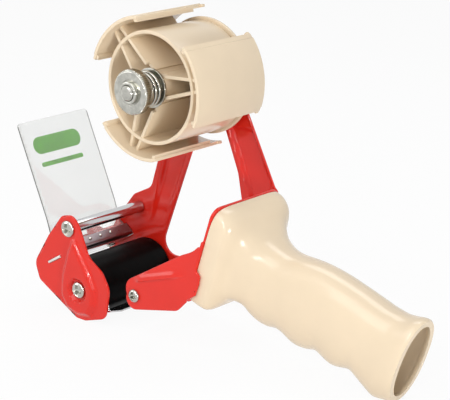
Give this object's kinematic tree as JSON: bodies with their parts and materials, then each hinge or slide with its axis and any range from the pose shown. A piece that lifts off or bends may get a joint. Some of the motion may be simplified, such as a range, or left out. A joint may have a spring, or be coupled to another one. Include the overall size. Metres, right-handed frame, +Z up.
{
  "type": "packing tape dispenser",
  "caption": "Hand-held packing tape dispenser: red sheet-steel frame, pistol grip, tabbed plastic hub with a sprung brake nut, rubber roller, toothed blade and clear flap.",
  "frame": {"origin": "centre of the bounding box's base, on the surface the dispenser rests on", "axes": "+X from the roller end to the handle's end, +Y along the axles away from the open loading side, +Z up"},
  "size_m": [0.2588, 0.0784, 0.1754],
  "materials": {
    "red_paint": "gloss",
    "beige_plastic": "gloss",
    "zinc": "zinc plated",
    "bright_steel": "bright",
    "black_rubber": "smooth",
    "clear_sheet": "clear",
    "white_nylon": "satin",
    "brown_fibre": "matte",
    "grey_plastic": "matte"
  },
  "bodies": {
    "frame": {"main_frame": "red_paint", "front_cheek": "red_paint", "guide_rod": "bright_steel", "roller_axle": "zinc", "near_rod_screw": "zinc", "far_rod_screw": "zinc", "near_axle_screw": "zinc", "far_axle_screw": "zinc", "tie_bar": "zinc", "near_tie_screw": "zinc", "far_tie_screw": "zinc", "stripper_plate": "bright_steel", "blade_bracket": "bright_steel", "cutting_blade": "bright_steel", "near_blade_screw": "zinc", "far_blade_screw": "zinc", "flap_clamped_edge": "clear_sheet", "flap_clamp_strip": "red_paint", "flap_rivet_1": "zinc", "flap_rivet_2": "zinc", "flap_rivet_3": "zinc", "flap_rivet_4": "zinc", "spindle": "zinc", "frame_washer": "zinc", "frame_nut": "zinc", "spacer_sleeve": "zinc", "rear_friction_washer": "brown_fibre", "front_friction_washer": "brown_fibre", "spring_seat_washer": "zinc", "tension_spring": "zinc", "handle": "beige_plastic", "lower_handle_screw": "zinc", "upper_handle_screw": "zinc"},
    "tape_hub": {"hub": "beige_plastic", "hub_end_flange": "beige_plastic", "hub_bush": "white_nylon"},
    "roller": {"roller_sleeve": "black_rubber", "roller_core": "grey_plastic", "far_roller_bush": "white_nylon", "near_roller_bush": "white_nylon"},
    "pressure_plate": {"pressure_washer": "zinc"},
    "brake_nut": {"tension_nut": "zinc"},
    "flap": {"clear_flap": "clear_sheet"}
  },
  "joints": [
    {"name": "hub_spin", "type": "hinge", "parent": "frame", "child": "tape_hub", "pos_m": [-0.03258, 0, 0.1375], "axis": [0, 1, 0], "continuous": true},
    {"name": "roller_spin", "type": "hinge", "parent": "frame", "child": "roller", "pos_m": [-0.07758, 0, 0.0174], "axis": [0, 1, 0], "continuous": true},
    {"name": "brake_travel", "type": "slide", "parent": "frame", "child": "pressure_plate", "axis": [0, 1, 0], "range_m": [-0.001, 0.0025], "deforming": ["tension_spring"]},
    {"name": "brake_nut_turn", "type": "hinge", "parent": "pressure_plate", "child": "brake_nut", "pos_m": [-0.03258, 0, 0.1375], "axis": [0, 1, 0], "range_deg": [-300, 740]},
    {"name": "flap_bend", "type": "hinge", "parent": "frame", "child": "flap", "pos_m": [-0.10238, 0, 0.04054], "axis": [0, 1, 0], "range_deg": [-26, 20], "stiffness_Nm_per_rad": 0.02}
  ],
  "couplings": [
    {"joint": "brake_nut_turn", "follows": "brake_travel", "rad_per_m": 5026.5}
  ]
}
